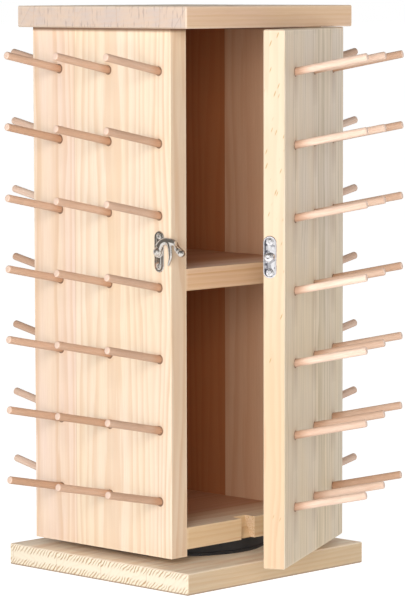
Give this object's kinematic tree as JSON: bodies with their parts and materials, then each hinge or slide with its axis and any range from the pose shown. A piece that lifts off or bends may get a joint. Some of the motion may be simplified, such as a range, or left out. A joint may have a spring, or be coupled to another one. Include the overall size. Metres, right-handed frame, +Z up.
{
  "type": "thread spool storage box",
  "caption": "Wooden tower cabinet on a ball-race turntable, with a hinged door, a shelf, a horn latch and angled pegs for thread spools on all sides",
  "frame": {"origin": "on the floor under the centre of the base board, on the turntable's axis", "axes": "+Z up, the door side of the cabinet faces -Y, the latch side faces -X"},
  "size_m": [0.3026, 0.3644, 0.477],
  "materials": {
    "pine_board": "planed edge-glued pine, clear matt finish",
    "peg_wood": "turned birch dowel, bare",
    "dowel_wood": "bare beech dowel",
    "turntable_black": "moulded, satin black",
    "cage_plastic": "moulded, natural",
    "bright_nickel": "bright plated casting",
    "hinge_nickel": "plated pressed steel",
    "zinc_steel": "zinc-plated steel"
  },
  "bodies": {
    "base": {"base_board": "pine_board", "turntable_lower_plate": "turntable_black", "turntable_lower_screws": "zinc_steel", "turntable_rivet": "zinc_steel"},
    "ball_race": {"turntable_ball_cage": "cage_plastic", "turntable_balls": "zinc_steel"},
    "cabinet": {"turntable_upper_plate": "turntable_black", "turntable_upper_screws": "zinc_steel", "bottom_board": "pine_board", "middle_shelf": "pine_board", "top_board": "pine_board", "left_panel": "pine_board", "right_panel": "pine_board", "back_panel": "pine_board", "shelf_dowels": "dowel_wood", "bottom_dowels": "dowel_wood", "top_dowels": "dowel_wood", "back_dowels": "dowel_wood", "left_pegs": "peg_wood", "right_pegs": "peg_wood", "back_pegs": "peg_wood", "upper_hinge_cabinet_leaf": "hinge_nickel", "lower_hinge_cabinet_leaf": "hinge_nickel", "hinge_pins": "hinge_nickel", "cabinet_hinge_screws": "hinge_nickel", "latch_plate": "bright_nickel", "latch_rivet": "bright_nickel", "latch_screws": "bright_nickel"},
    "door": {"door_panel": "pine_board", "door_pegs": "peg_wood", "upper_hinge_door_leaf": "hinge_nickel", "lower_hinge_door_leaf": "hinge_nickel", "door_hinge_screws": "hinge_nickel", "catch_plate": "bright_nickel", "catch_post": "bright_nickel", "catch_screws": "bright_nickel"},
    "hook": {"latch_hook": "bright_nickel"}
  },
  "joints": [
    {"name": "turntable_spin", "type": "hinge", "parent": "base", "child": "cabinet", "pos_m": [0, 0, 0.024], "axis": [0, 0, 1], "continuous": true},
    {"name": "ball_race_spin", "type": "hinge", "parent": "base", "child": "ball_race", "pos_m": [0, 0, 0.024], "axis": [0, 0, 1], "continuous": true},
    {"name": "door_hinge", "type": "hinge", "parent": "cabinet", "child": "door", "pos_m": [0.09335, -0.073, 0.2475], "axis": [0, 0, 1], "range_deg": [-27, 83]},
    {"name": "hook_pivot", "type": "hinge", "parent": "cabinet", "child": "hook", "pos_m": [-0.091, -0.06, 0.277], "axis": [-1, 0, 0], "range_deg": [-12, 70]}
  ],
  "couplings": [
    {"joint": "ball_race_spin", "follows": "turntable_spin", "ratio": 0.5}
  ]
}
